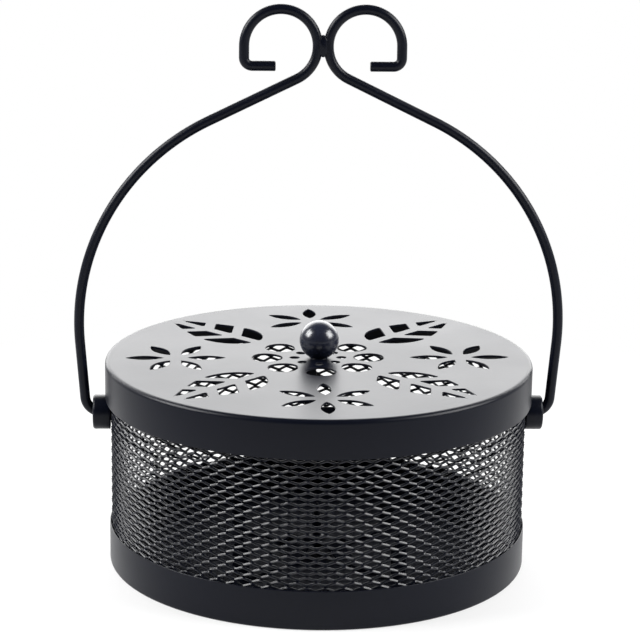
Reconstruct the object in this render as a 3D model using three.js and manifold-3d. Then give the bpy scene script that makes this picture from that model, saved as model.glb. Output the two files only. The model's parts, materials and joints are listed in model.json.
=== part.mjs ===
// Mosquito coil holder: a round sheet-steel box with an expanded-metal wall, a lift-off lid with a
// floral cut-out pattern, and a folding wire handle with two scrolls. Millimetres, +Z up, the origin
// on the table under the middle of the box, the handle's pivots on a line along X.

import * as THREE from 'three';
import { mergeVertices } from 'three/addons/utils/BufferGeometryUtils.js';
import Module from 'manifold-3d';

const wasm = await Module();
wasm.setup();

// Sizes of the whole box
const boxHeight = 82.7;
const lidDiameter = 170;
const fitGap = 0.3;
const slipGap = 0.2;
const rolledGap = 0.5;
const cutOverrun = 2;
const mergeTolerance = 0.0001;
const roundSides = 64;
const smallSides = 24;
const smallestSides = 16;

// Tray
const trayBandHeight = 15.7;
const trayWall = 0.6;
const trayFloor = 0.8;
const trayCorner = 1.0;

// Expanded-metal wall
const meshThickness = 1.4;
const meshGrip = 4.5;
const diamondPitch = 18.6;
const diamondHeight = 12.6;
const strandWidth = 1.5;
const seamSlit = 0.6;
const seamStripWidth = 10;
const seamStripThickness = 0.8;

// Collar on the wall's top edge
const collarSheet = 0.7;
const collarDepth = 13.6;

// Lid
const lidSheet = 0.8;
const lidPlay = 0.6;
const skirtDepth = 15.4;
const lidEdgeRadius = 1.5;
const hemRadius = 0.6;
const lidTurn = THREE.MathUtils.degToRad(1.2);

// Cut-outs: a flower round the knob, and four flowers and four leaves round it by turns. Their
// lengths are shares of the lid's radius.
const ornamentCount = 4;
const centrePetalCount = 8;
const centrePetalPlaceShare = 0.2376;
const centrePetalLengthShare = 0.1435;
const centrePetalWidthShare = 0.1388;
const centrePetalTaperShare = 0.12;
const eyeletPlaceShare = 0.1094;
const eyeletLengthShare = 0.0471;
const eyeletWidthShare = 0.04;
const flowerPlaceShare = 0.6659;
const flowerPetalCount = 6;
const flowerPetalStartShare = 0.0553;
const flowerPetalLengthShare = 0.1718;
const flowerPetalWidthShare = 0.0647;
const leafStartShare = 0.3953;
const leafLengthShare = 0.5929;
const leafWidthShare = 0.2941;
const leafBellyShare = 0.6;
const midribShare = 0.0518;
const veinShare = 0.0518;
const veinLeanShare = 0.79;
const veinPlaceShares = [0.235, 0.545];
const outlinePoints = 10;
const leafEdgePoints = 4;
const halvings = 30;

// Knob
const knobDiameter = 15.6;
const knobFootDiameter = 7;
const knobScrewDiameter = 2.6;
const knobScrewHeadDiameter = 6;
const knobScrewHeadHeight = 1.5;
const knobScrewFaceShare = 0.7;
const knobScrewReach = 5.5;
const knobWasherDiameter = 8.4;
const knobWasherThickness = 0.6;

// Handle pivots, close under the lid's skirt
const bossDiameter = 13.8;
const bossLength = 6.9;
const bossEdgeRadius = 0.8;
const bossMouthDiameter = 8.6;
const bossMouthDepth = 3.9;
const bossNeckDiameter = 7.2;
const backingWasherDiameter = 15;
const backingWasherThickness = 1;
const pushNutDiameter = 9.6;
const pushNutThickness = 1;
const pinTail = 1.4;

// Handle wires
const wireDiameter = 4;
const wireSides = 8;
const pinBendRadius = 6.5;
const pinBendSetback = 3.35;
const legLean = THREE.MathUtils.degToRad(4.5);
const shoulderRadius = 91.2;
const shoulderSlope = THREE.MathUtils.degToRad(26.1);
const scrollRadius = 14.2;
const scrollRise = 147.2;
const scrollDrop = 4.6;
const scrollBendRadius = 3.2;
const scrollTail = 9;
const weldLength = 8.4;
const weldWidth = 4.4;
const weldDepth = 1.1;

// Coil rest inside the tray
const restStripWidth = 8;
const restStripThickness = 0.8;
const restPostRadius = 44;
const restPostHeight = 19;
const restBendRadius = 2;
const restCrownHeight = 5;
const restCrownReach = 9;
const restSlopeReach = 7;
const restPointHeight = 6;
const spikeDiameter = 4;
const spikeHeight = 22;
const spikeHeadDiameter = 7;
const spikeHeadHeight = 1;
const spikePointLength = 7;

// Places that follow from the sizes
const lidRadius = lidDiameter / 2;
const lidInnerRadius = lidRadius - lidSheet;
const lidUnderside = boxHeight - lidSheet;
const skirtBottom = boxHeight - skirtDepth;
const collarOuterRadius = lidInnerRadius - lidPlay;
const collarTop = lidUnderside - fitGap;
const collarBottom = collarTop - collarDepth;
const trayInnerRadius = collarOuterRadius - collarSheet;
const trayRadius = trayInnerRadius + trayWall;
const meshRadius = trayInnerRadius - slipGap;
const meshInnerRadius = meshRadius - meshThickness;
const collarInnerRadius = meshInnerRadius - rolledGap - collarSheet;
const meshFoot = trayBandHeight - meshGrip;
const meshTop = collarBottom + meshGrip;
const pivotHeight = skirtBottom - fitGap - bossDiameter / 2;
const scrollHeight = pivotHeight + scrollRise;
const wireRadius = wireDiameter / 2;
const bossFace = meshRadius + fitGap + bossLength;
const boreInMesh = bossNeckDiameter / 2 + fitGap;
const washerRadius = backingWasherDiameter / 2;
const backingWasherOuter = Math.sqrt(meshInnerRadius ** 2 - washerRadius ** 2) - rolledGap;
const backingWasherInner = backingWasherOuter - backingWasherThickness;
const pushNutOuter = backingWasherInner - fitGap;
const pinEnd = pushNutOuter - pushNutThickness - pinTail;

// Finishes: satin black powder coat, bare hardware inside
const blackCoat = { color: 0x1c1d20, roughness: 0.42, metalness: 0.25 };
const meshCoat = { color: 0x17181a, roughness: 0.38, metalness: 0.3 };
const knobCoat = { color: 0x16171c, roughness: 0.2, metalness: 0.2 };
const platedSteel = { color: 0x9a9da0, roughness: 0.35, metalness: 0.9 };

function piece(name, geometry, finish) {
  const solid = closedGeometry(geometry);
  solid.computeVertexNormals();
  const mesh = new THREE.Mesh(solid, new THREE.MeshStandardMaterial(finish));
  mesh.name = name;
  return mesh;
}

function closedGeometry(geometry) {
  const bare = geometry.clone();
  for (const attribute of Object.keys(bare.attributes)) {
    if (attribute !== 'position') bare.deleteAttribute(attribute);
  }
  return mergeVertices(bare, mergeTolerance);
}

function toManifold(geometry) {
  const closed = closedGeometry(geometry);
  return new wasm.Manifold(new wasm.Mesh({
    numProp: 3,
    vertProperties: new Float32Array(closed.attributes.position.array),
    triVerts: new Uint32Array(closed.index.array),
  }));
}

function fromManifold(solid) {
  const { vertProperties, triVerts } = solid.getMesh();
  const geometry = new THREE.BufferGeometry();
  geometry.setAttribute('position', new THREE.BufferAttribute(vertProperties, 3));
  geometry.setIndex(new THREE.BufferAttribute(triVerts, 1));
  return geometry;
}

// A revolved solid on the Z axis. The outline runs anticlockwise with radius to the right and height up.
function revolve(outline, sides = roundSides) {
  const points = outline.map(([radius, height]) => new THREE.Vector2(radius, height));
  const first = points[0];
  const last = points[points.length - 1];
  if (first.x > 0 || last.x > 0) points.push(first.clone());
  return new THREE.LatheGeometry(points, sides).rotateX(Math.PI / 2);
}

function disc(radius, bottom, top, boreRadius, sides = smallSides) {
  return revolve([[boreRadius, bottom], [radius, bottom], [radius, top], [boreRadius, top]], sides);
}

// Points of a quarter round from one angle to another, both in the outline's plane
function roundCorner(centreRadius, centreHeight, radius, from, to, steps) {
  const points = [];
  for (let step = 0; step <= steps; step++) {
    const angle = THREE.MathUtils.lerp(from, to, step / steps);
    points.push([centreRadius + radius * Math.cos(angle), centreHeight + radius * Math.sin(angle)]);
  }
  return points;
}

function makeTray() {
  const innerCorner = trayCorner - trayWall;
  return piece('base_tray', revolve([
    [0, 0],
    ...roundCorner(trayRadius - trayCorner, trayCorner, trayCorner, -Math.PI / 2, 0, 4),
    ...roundCorner(trayRadius - trayWall / 2, trayBandHeight - trayWall / 2, trayWall / 2, 0, Math.PI, 2),
    ...roundCorner(trayInnerRadius - innerCorner, trayFloor + innerCorner, innerCorner, 0, -Math.PI / 2, 3),
    [0, trayFloor],
  ]), blackCoat);
}

// Staggered diamonds with strands between them, rolled into a ring whose ends nearly meet at the back.
// The lowest and highest rows are half diamonds, open at the sheet's edges.
function makeMeshWall() {
  const columns = Math.round(2 * Math.PI * meshRadius / diamondPitch);
  const rows = 2 * Math.round((meshTop - meshFoot) / diamondHeight);
  const across = Math.PI / columns;
  const up = (meshTop - meshFoot) / rows;
  const strandShare = strandWidth * Math.hypot(across * meshRadius, up) / (2 * across * meshRadius * up);
  const holeShare = 1 - strandShare;
  const tip = (middle, row, right, above) => ({
    angle: (middle + right * holeShare) * across,
    height: meshFoot + (row + above * holeShare) * up,
  });
  const ring = new RolledSheet();
  for (let row = 0; row <= rows; row++) {
    for (let middle = row % 2; middle < 2 * columns; middle += 2) {
      const left = tip(middle, row, -1, 0);
      const right = tip(middle, row, 1, 0);
      const top = tip(middle, row, 0, 1);
      const bottom = tip(middle, row, 0, -1);
      const nextLeft = tip(middle + 2, row, -1, 0);
      const above = row < rows ? [tip(middle + 1, row + 1, 0, -1)] : [];
      const below = row > 0 ? [tip(middle + 1, row - 1, 0, 1)] : [];
      ring.addFace([...below, nextLeft, ...above, right]);
      if (row < rows) {
        ring.addFace([right, ...above, tip(middle + 1, row + 1, -1, 0), top]);
        ring.addFace([top, tip(middle - 1, row + 1, 1, 0), tip(middle - 1, row + 1, 0, -1), left]);
        ring.addEdges([left, top, right]);
      } else {
        ring.addEdges([nextLeft, right]);
      }
      if (row > 0) ring.addEdges([right, bottom, left]);
      else ring.addEdges([right, nextLeft]);
    }
  }
  const slit = new THREE.BoxGeometry(seamSlit, meshThickness + 2 * cutOverrun, meshTop)
    .translate(0, meshRadius, (meshTop + meshFoot) / 2);
  const bore = (side) => alongX(disc(boreInMesh, 0, meshRadius + cutOverrun, 0), side);
  const wall = [slit, bore(1), bore(-1)].reduce((rest, cut) => rest.subtract(toManifold(cut)),
    toManifold(ring.geometry()));
  return piece('mesh_wall', fromManifold(wall), meshCoat);
}

// Faces and cut edges of a sheet, seen unrolled from its outer side, with angles from the back
class RolledSheet {
  constructor() {
    this.positions = [];
  }

  corner({ angle, height }, radius) {
    const turn = angle + Math.PI / 2;
    return [radius * Math.cos(turn), radius * Math.sin(turn), height];
  }

  addFan(corners) {
    for (let index = 2; index < corners.length; index++) {
      this.positions.push(...corners[0], ...corners[index - 1], ...corners[index]);
    }
  }

  // A face runs anticlockwise
  addFace(points) {
    this.addFan(points.map((point) => this.corner(point, meshRadius)));
    this.addFan(points.map((point) => this.corner(point, meshInnerRadius)).reverse());
  }

  // A run of edges has the sheet on its left
  addEdges(points) {
    points.slice(1).forEach((to, index) => {
      const from = points[index];
      this.addFan([
        this.corner(to, meshRadius), this.corner(from, meshRadius),
        this.corner(from, meshInnerRadius), this.corner(to, meshInnerRadius),
      ]);
    });
  }

  geometry() {
    return new THREE.BufferGeometry()
      .setAttribute('position', new THREE.Float32BufferAttribute(this.positions, 3));
  }
}

// Turns a solid that was revolved about Z to lie along X at the pivots' height, on the +X or -X side
function alongX(geometry, side) {
  return geometry.rotateY(side * Math.PI / 2).translate(0, 0, pivotHeight);
}

function makeSeamStrip() {
  const outer = meshInnerRadius - rolledGap;
  const half = seamStripWidth / 2 / outer;
  const strip = new THREE.Shape();
  strip.absarc(0, 0, outer, Math.PI / 2 - half, Math.PI / 2 + half, false);
  strip.absarc(0, 0, outer - seamStripThickness, Math.PI / 2 + half, Math.PI / 2 - half, true);
  const depth = collarBottom - fitGap - meshFoot;
  const geometry = new THREE.ExtrudeGeometry(strip, { depth, bevelEnabled: false, curveSegments: 2 });
  return piece('mesh_seam_strip', geometry.translate(0, 0, meshFoot), blackCoat);
}

// An inverted channel that caps the wall's top edge, and on which the lid rests
function makeCollar() {
  const edge = collarSheet / 2;
  return piece('top_collar', revolve([
    [collarInnerRadius, collarBottom],
    [collarInnerRadius + collarSheet, collarBottom],
    [collarInnerRadius + collarSheet, collarTop - collarSheet],
    [trayInnerRadius, collarTop - collarSheet],
    [trayInnerRadius, collarBottom],
    [collarOuterRadius, collarBottom],
    [collarOuterRadius, collarTop - edge],
    [collarOuterRadius - edge, collarTop],
    [collarInnerRadius + edge, collarTop],
    [collarInnerRadius, collarTop - edge],
  ]), blackCoat);
}

function makeBoss(name, side) {
  const back = meshRadius + fitGap;
  const bore = wireRadius + fitGap;
  return piece(name, alongX(revolve([
    [bore, backingWasherInner],
    [bossNeckDiameter / 2, backingWasherInner],
    [bossNeckDiameter / 2, back],
    [bossDiameter / 2, back],
    ...roundCorner(bossDiameter / 2 - bossEdgeRadius, bossFace - bossEdgeRadius, bossEdgeRadius,
      0, Math.PI / 2, 2),
    [bossMouthDiameter / 2, bossFace],
    [bore, bossFace - bossMouthDepth],
  ], smallSides), side), blackCoat);
}

function makeBackingWasher(name, side) {
  const washer = disc(washerRadius, backingWasherInner, backingWasherOuter, boreInMesh);
  return piece(name, alongX(washer, side), blackCoat);
}

function makePushNut(name, side) {
  const bore = wireRadius + fitGap;
  const inner = pushNutOuter - pushNutThickness;
  return piece(name, alongX(disc(pushNutDiameter / 2, inner, pushNutOuter, bore, smallestSides), side), platedSteel);
}

// A wire's middle line in the XZ plane, made of straights and round bends that follow on each other
class BentWire extends THREE.Curve {
  constructor(start, heading, side) {
    super();
    this.side = side;
    this.point = start.clone();
    this.heading = heading;
    this.stations = [{ point: start.clone(), heading }];
  }

  straight(length, steps = 1) {
    const along = new THREE.Vector2(Math.cos(this.heading), Math.sin(this.heading));
    for (let step = 1; step <= steps; step++) {
      const point = this.point.clone().addScaledVector(along, length * step / steps);
      this.stations.push({ point, heading: this.heading });
    }
    this.point = this.point.clone().addScaledVector(along, length);
    return this;
  }

  bend(radius, turn, steps) {
    const toCentre = this.heading + Math.sign(turn) * Math.PI / 2;
    const centre = this.point.clone().add(
      new THREE.Vector2(radius * Math.cos(toCentre), radius * Math.sin(toCentre)));
    for (let step = 1; step <= steps; step++) {
      const heading = this.heading + turn * step / steps;
      const fromCentre = heading - Math.sign(turn) * Math.PI / 2;
      const point = centre.clone().add(
        new THREE.Vector2(radius * Math.cos(fromCentre), radius * Math.sin(fromCentre)));
      this.stations.push({ point, heading });
    }
    this.heading += turn;
    this.point = this.stations[this.stations.length - 1].point.clone();
    return this;
  }

  get steps() {
    return this.stations.length - 1;
  }

  station(t) {
    return this.stations[Math.round(t * this.steps)];
  }

  getPoint(t) {
    const { point } = this.station(t);
    return new THREE.Vector3(this.side * point.x, 0, point.y);
  }

  getTangent(t) {
    const { heading } = this.station(t);
    return new THREE.Vector3(this.side * Math.cos(heading), 0, Math.sin(heading));
  }

  getUtoTmapping(u) {
    return u;
  }
}

// The two straights of a handle half are as long as it takes for its scroll to end up beside the
// other one, at its height
function handlePath(side) {
  const pinBendStart = bossFace - pinBendSetback;
  const pinLength = pinBendStart - pinEnd;
  const lift = Math.PI / 2 - legLean;
  const shoulder = Math.PI - shoulderSlope;
  const trace = (leg, rise) => new BentWire(new THREE.Vector2(pinEnd, pivotHeight), 0, side)
    .straight(pinLength)
    .bend(pinBendRadius, lift, 6)
    .straight(leg)
    .bend(shoulderRadius, shoulder - lift, 12)
    .straight(rise);
  const scrollEntry = new THREE.Vector2(
    wireRadius + slipGap / 2 + scrollRadius - scrollRadius * Math.sin(shoulder),
    scrollHeight + scrollRadius * Math.cos(shoulder));
  const short = scrollEntry.clone().sub(trace(0, 0).point);
  const determinant = Math.cos(lift) * Math.sin(shoulder) - Math.sin(lift) * Math.cos(shoulder);
  const leg = (short.x * Math.sin(shoulder) - short.y * Math.cos(shoulder)) / determinant;
  const rise = (short.y * Math.cos(lift) - short.x * Math.sin(lift)) / determinant;
  return trace(leg, rise)
    .bend(scrollRadius, -(shoulder + Math.PI / 2), 20)
    .straight(scrollDrop)
    .bend(scrollBendRadius, -Math.PI / 2, 4)
    .straight(scrollTail);
}

function wireGeometry(path, radius) {
  const section = new THREE.Shape();
  for (let corner = 0; corner < wireSides; corner++) {
    const angle = 2 * Math.PI * corner / wireSides;
    const place = [radius * Math.cos(angle), radius * Math.sin(angle)];
    if (corner === 0) section.moveTo(...place);
    else section.lineTo(...place);
  }
  return new THREE.ExtrudeGeometry(section, { steps: path.steps, extrudePath: path });
}

function makeWire(name, side) {
  return piece(name, wireGeometry(handlePath(side), wireRadius), blackCoat);
}

// A bead of weld in the groove where the scrolls meet, on the front or the back
function makeWeld(name, front) {
  const bead = new THREE.SphereGeometry(1, smallestSides, smallestSides / 2)
    .scale(weldWidth / 2, weldDepth, weldLength / 2)
    .translate(0, front * (weldDepth + fitGap / 2), scrollHeight);
  const cleared = [1, -1].reduce(
    (rest, side) => rest.subtract(toManifold(wireGeometry(handlePath(side), wireRadius + slipGap))),
    toManifold(bead));
  return piece(name, fromManifold(cleared), blackCoat);
}

// A closed outline from points round the middle of a petal that lies along X from the origin
function ovalPetal(centre, length, width, taperShare) {
  const points = [];
  for (let step = 0; step < outlinePoints; step++) {
    const angle = 2 * Math.PI * step / outlinePoints;
    points.push(new THREE.Vector2(
      centre + length / 2 * Math.cos(angle),
      width / 2 * Math.sin(angle) * (1 + taperShare * Math.cos(angle))));
  }
  return points;
}

function pointedPetal(start, length, width) {
  const points = [];
  const half = outlinePoints / 2;
  for (let step = 0; step < outlinePoints; step++) {
    const side = step < half ? 1 : -1;
    const share = side > 0 ? 1 - step / half : (step - half) / half;
    points.push(new THREE.Vector2(start + length * share, side * width / 2 * Math.sin(Math.PI * share)));
  }
  return points;
}

function leafHalfWidth(distance) {
  const share = THREE.MathUtils.clamp((distance - leafStartShare) / leafLengthShare, 0, 1);
  return leafWidthShare / 2 * Math.sin(Math.PI * share ** leafBellyShare);
}

// The last place between two that still passes a test, when the first one does and the last doesn't
function lastThatPasses(good, bad, passes) {
  for (let halving = 0; halving < halvings; halving++) {
    const middle = (good + bad) / 2;
    if (passes(middle)) good = middle;
    else bad = middle;
  }
  return good;
}

// Where a slanting edge that leaves the midrib at a distance meets the leaf's outline
function veinEnd(distance) {
  const across = lastThatPasses(0, leafWidthShare / 2,
    (width) => width < leafHalfWidth(distance + veinLeanShare * width));
  return distance + veinLeanShare * across;
}

// Where the leaf's outline is as wide as the midrib, near its start or its tip
function ribCrossing(end) {
  const middle = leafStartShare + leafLengthShare / 2;
  return lastThatPasses(middle, end, (distance) => leafHalfWidth(distance) > midribShare / 2);
}

// One slot of a leaf, on its left side, between two distances along the midrib
function leafSlot(from, to) {
  const rib = midribShare / 2;
  const leafEnd = leafStartShare + leafLengthShare;
  const points = [];
  if (from > leafStartShare) points.push(new THREE.Vector2(from + veinLeanShare * rib, rib));
  if (to < leafEnd) points.push(new THREE.Vector2(to + veinLeanShare * rib, rib));
  const outerStart = from > leafStartShare ? veinEnd(from) : ribCrossing(leafStartShare);
  const outerEnd = to < leafEnd ? veinEnd(to) : ribCrossing(leafEnd);
  for (let step = 0; step <= leafEdgePoints; step++) {
    const distance = THREE.MathUtils.lerp(outerEnd, outerStart, step / leafEdgePoints);
    points.push(new THREE.Vector2(distance, leafHalfWidth(distance)));
  }
  return points;
}

function leafSlots() {
  const halfVein = veinShare * Math.hypot(1, veinLeanShare) / 2;
  const veins = veinPlaceShares.map((share) => leafStartShare + leafLengthShare * share);
  const bounds = [
    [leafStartShare, veins[0] - halfVein],
    [veins[0] + halfVein, veins[1] - halfVein],
    [veins[1] + halfVein, leafStartShare + leafLengthShare],
  ];
  const left = bounds.map(([from, to]) => leafSlot(from, to));
  const right = left.map((points) => points.map((point) => new THREE.Vector2(point.x, -point.y)).reverse());
  return [...left, ...right];
}

function turned(outlines, angle, shift = 0) {
  const origin = new THREE.Vector2();
  return outlines.map((points) => points.map(
    (point) => point.clone().rotateAround(origin, angle).add(new THREE.Vector2(shift, 0))));
}

function around(outlines, count, start = 0) {
  const copies = [];
  for (let copy = 0; copy < count; copy++) {
    copies.push(...turned(outlines, start + 2 * Math.PI * copy / count));
  }
  return copies;
}

function lidCutOuts() {
  const centrePetal = ovalPetal(
    centrePetalPlaceShare, centrePetalLengthShare, centrePetalWidthShare, centrePetalTaperShare);
  const eyelet = ovalPetal(eyeletPlaceShare, eyeletLengthShare, eyeletWidthShare, 0);
  const petal = pointedPetal(flowerPetalStartShare, flowerPetalLengthShare, flowerPetalWidthShare);
  const flower = turned(around([petal], flowerPetalCount), 0, flowerPlaceShare);
  return [
    ...around([centrePetal, eyelet], centrePetalCount),
    ...around(flower, ornamentCount),
    ...around(leafSlots(), ornamentCount, Math.PI / ornamentCount),
  ].map((points) => points.map((point) => point.multiplyScalar(lidRadius)));
}

function makeLidCap() {
  const innerCorner = lidEdgeRadius - lidSheet;
  const cap = toManifold(revolve([
    [0, lidUnderside],
    ...roundCorner(lidInnerRadius - innerCorner, lidUnderside - innerCorner, innerCorner, Math.PI / 2, 0, 2),
    [lidInnerRadius, skirtBottom + hemRadius],
    [lidInnerRadius + lidSheet / 2, skirtBottom],
    [lidRadius, skirtBottom + hemRadius],
    ...roundCorner(lidRadius - lidEdgeRadius, boxHeight - lidEdgeRadius, lidEdgeRadius, 0, Math.PI / 2, 4),
    [0, boxHeight],
  ]));
  const shapes = lidCutOuts().map((points) => new THREE.Shape(points));
  const depth = lidSheet + 2 * cutOverrun;
  const cutters = new THREE.ExtrudeGeometry(shapes, { depth, bevelEnabled: false })
    .translate(0, 0, lidUnderside - cutOverrun);
  const bore = disc(knobScrewDiameter / 2 + fitGap, lidUnderside - cutOverrun, boxHeight + cutOverrun, 0, smallestSides);
  return piece('lid_cap', fromManifold(cap.subtract(toManifold(cutters)).subtract(toManifold(bore))), blackCoat);
}

// A ball with a small flat foot and a blind hole for its screw
function makeKnob() {
  const radius = knobDiameter / 2;
  const footRadius = knobFootDiameter / 2;
  const foot = boxHeight + fitGap;
  const centre = foot + Math.sqrt(radius ** 2 - footRadius ** 2);
  const footAngle = -Math.acos(footRadius / radius);
  const bore = knobScrewDiameter / 2 + fitGap;
  const boreTop = foot + knobScrewReach + fitGap;
  const ball = revolve([
    [bore, foot],
    ...roundCorner(0, centre, radius, footAngle, Math.PI / 2, 12).slice(0, -1),
    [0, centre + radius],
    [0, boreTop],
    [bore, boreTop],
  ], smallSides);
  return piece('knob_ball', ball, knobCoat);
}

function makeKnobWasher() {
  const top = lidUnderside - fitGap;
  const bore = knobScrewDiameter / 2 + fitGap;
  return piece('knob_washer', disc(knobWasherDiameter / 2, top - knobWasherThickness, top, bore), platedSteel);
}

function makeKnobScrew() {
  const headTop = lidUnderside - fitGap - knobWasherThickness - fitGap;
  const headRadius = knobScrewHeadDiameter / 2;
  const shank = knobScrewDiameter / 2;
  const head = headTop - knobScrewHeadHeight;
  return piece('knob_screw', revolve([
    [0, head],
    [headRadius * knobScrewFaceShare, head],
    [headRadius, head + knobScrewHeadHeight / 2],
    [headRadius, headTop],
    [shank, headTop],
    [shank, boxHeight + fitGap + knobScrewReach],
    [0, boxHeight + fitGap + knobScrewReach],
  ], smallestSides), platedSteel);
}

// A strip with a raised crown in the middle and its ends turned up into pointed posts. The crown
// of the upper strip lies on that of the lower one.
function makeRestStrip(name, crown, heading) {
  const floor = trayFloor + fitGap;
  const middle = new BentWire(new THREE.Vector2(0, crown + restStripThickness / 2), 0, 1);
  const drop = crown - floor;
  const slope = Math.atan2(drop, restSlopeReach);
  middle.straight(restCrownReach);
  middle.heading = -slope;
  middle.straight(Math.hypot(drop, restSlopeReach));
  middle.heading = 0;
  middle.straight(restPostRadius - restBendRadius - middle.point.x);
  middle.bend(restBendRadius, Math.PI / 2, 3);
  middle.straight(restPostHeight - middle.point.y);
  const half = stripOutline(middle.stations.map(({ point }) => point));
  const strip = new THREE.ExtrudeGeometry(half, { depth: restStripWidth, bevelEnabled: false })
    .translate(0, 0, -restStripWidth / 2)
    .rotateX(Math.PI / 2);
  const bore = disc(spikeDiameter / 2 + fitGap, 0, crown + cutOverrun, 0, smallestSides);
  const pointed = toManifold(strip).subtract(toManifold(bore)).intersect(toManifold(postPoints()));
  return piece(name, fromManifold(pointed).rotateZ(heading), blackCoat);
}

// The strip's side view: its middle line set off by half the thickness each way, and its mirror image
function stripOutline(line) {
  const half = restStripThickness / 2;
  const offset = (side) => line.slice(1).map((point, index) => {
    const after = line[Math.min(index + 2, line.length - 1)];
    const along = after.clone().sub(line[index]).normalize();
    return new THREE.Vector2(point.x - side * half * along.y, point.y + side * half * along.x);
  });
  const upper = offset(1);
  const lower = offset(-1);
  return new THREE.Shape([...lower, ...upper.slice().reverse(), ...mirrored(upper), ...mirrored(lower).reverse()]);
}

function mirrored(points) {
  return points.map((point) => new THREE.Vector2(-point.x, point.y));
}

// What the strips' ends are trimmed to: a block with gable ends, seen along the strip
function postPoints() {
  const half = restStripWidth / 2;
  const gable = new THREE.Shape([
    new THREE.Vector2(-half - cutOverrun, -cutOverrun),
    new THREE.Vector2(half + cutOverrun, -cutOverrun),
    new THREE.Vector2(half, restPostHeight - restPointHeight),
    new THREE.Vector2(0, restPostHeight),
    new THREE.Vector2(-half, restPostHeight - restPointHeight),
  ]);
  const reach = restPostRadius + cutOverrun;
  return new THREE.ExtrudeGeometry(gable, { depth: 2 * reach, bevelEnabled: false })
    .translate(0, 0, -reach)
    .rotateX(Math.PI / 2)
    .rotateZ(Math.PI / 2);
}

// A pin through both crowns, peened below and pointed above to hold the coil's middle
function makeSpike(lowerCrown, upperCrown) {
  const shank = spikeDiameter / 2;
  const head = spikeHeadDiameter / 2;
  const peenTop = lowerCrown - fitGap;
  const shoulder = upperCrown + restStripThickness + fitGap;
  return piece('centre_spike', revolve([
    [0, peenTop - spikeHeadHeight],
    [head, peenTop - spikeHeadHeight],
    [head, peenTop],
    [shank, peenTop],
    [shank, shoulder],
    [head, shoulder],
    [head, shoulder + spikeHeadHeight],
    [shank, shoulder + spikeHeadHeight],
    [shank, spikeHeight - spikePointLength],
    [0, spikeHeight],
  ], smallestSides), blackCoat);
}

const lowerCrown = restCrownHeight;
const upperCrown = lowerCrown + restStripThickness + fitGap;

const body = new THREE.Group();
body.add(
  makeTray(),
  makeMeshWall(),
  makeSeamStrip(),
  makeCollar(),
  makeBoss('left_boss', -1),
  makeBoss('right_boss', 1),
  makeBackingWasher('left_backing_washer', -1),
  makeBackingWasher('right_backing_washer', 1),
  makeRestStrip('coil_rest_lower', lowerCrown, Math.PI / 4),
  makeRestStrip('coil_rest_upper', upperCrown, -Math.PI / 4),
  makeSpike(lowerCrown, upperCrown),
);

const lid = new THREE.Group();
lid.add(makeLidCap(), makeKnob(), makeKnobWasher(), makeKnobScrew());
lid.rotation.z = lidTurn;

const handle = new THREE.Group();
handle.add(
  makeWire('left_handle_wire', -1),
  makeWire('right_handle_wire', 1),
  makeWeld('front_weld', -1),
  makeWeld('back_weld', 1),
  makePushNut('left_push_nut', -1),
  makePushNut('right_push_nut', 1),
);

const coilHolder = new THREE.Group();
coilHolder.add(body, lid, handle);

export default coilHolder;
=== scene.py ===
"""Dresses the frame of a mosquito coil holder: a round mesh box, its lid and its scrolled handle.

Lengths are in metres, +Z is up, X runs along the handle's pivots and the camera looks towards +Y.
"""

import json
import math

import bmesh
import bpy
import numpy as np
from bpy.props import FloatProperty, FloatVectorProperty, IntProperty, PointerProperty
from bpy.types import Operator, Panel, PropertyGroup
from mathutils import Matrix, Vector
from mathutils.geometry import delaunay_2d_cdt


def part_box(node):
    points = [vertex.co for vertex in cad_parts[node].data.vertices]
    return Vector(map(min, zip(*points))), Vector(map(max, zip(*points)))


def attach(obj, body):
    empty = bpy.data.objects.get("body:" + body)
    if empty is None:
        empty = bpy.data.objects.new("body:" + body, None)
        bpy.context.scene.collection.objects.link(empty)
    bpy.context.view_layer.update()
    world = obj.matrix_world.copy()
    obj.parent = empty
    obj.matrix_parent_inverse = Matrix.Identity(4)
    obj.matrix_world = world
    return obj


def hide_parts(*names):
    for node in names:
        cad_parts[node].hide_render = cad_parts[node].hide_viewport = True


bl_info = {
    "name": "Mosquito Coil Holder",
    "version": (1, 0, 0),
    "blender": (4, 5, 0),
    "location": "View3D > Sidebar > Coil Holder",
    "description": "Finely shaped and finished pieces for a mosquito coil holder",
    "category": "Object",
}

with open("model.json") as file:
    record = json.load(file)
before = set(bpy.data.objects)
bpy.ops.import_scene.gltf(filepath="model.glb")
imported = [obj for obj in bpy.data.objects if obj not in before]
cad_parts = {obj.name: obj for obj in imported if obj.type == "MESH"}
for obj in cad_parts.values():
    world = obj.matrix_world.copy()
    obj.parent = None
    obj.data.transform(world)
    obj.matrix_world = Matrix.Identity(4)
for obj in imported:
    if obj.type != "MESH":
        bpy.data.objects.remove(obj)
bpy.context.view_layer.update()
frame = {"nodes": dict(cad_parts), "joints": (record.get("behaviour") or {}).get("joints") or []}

PIVOT_HEIGHT = next(joint["pos_m"][2] for joint in frame["joints"]
                    if joint["name"] == "handle_swing")

# Points closer than this to each other, or to a lathe's axis, are one point
MERGE_DISTANCE = 1e-7

# Sides of turned solids: sheets, pivots and knob, small hardware
SHEET_SIDES = 256
PIVOT_SIDES = 96
HARDWARE_SIDES = 64

# Rounding of punched edges
BROKEN_EDGE = 0.0001
SOFT_EDGE = 0.0002

FINISH_OF_SLOT = {
    "black_coat": "black_powder_coat",
    "mesh_coat": "black_mesh_coat",
    "knob_coat": "black_enamel",
    "plated_steel": "zinc_plating",
}


def length(name, description, default):
    return FloatProperty(name=name, description=description, default=default, min=0.0,
                         precision=5, unit="LENGTH")


def angle_of(name, description, degrees):
    return FloatProperty(name=name, description=description, default=math.radians(degrees),
                         subtype="ANGLE")


def colour(name, description, default):
    return FloatVectorProperty(name=name, description=description, default=default,
                               size=3, min=0.0, max=1.0, subtype="COLOR")


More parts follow.
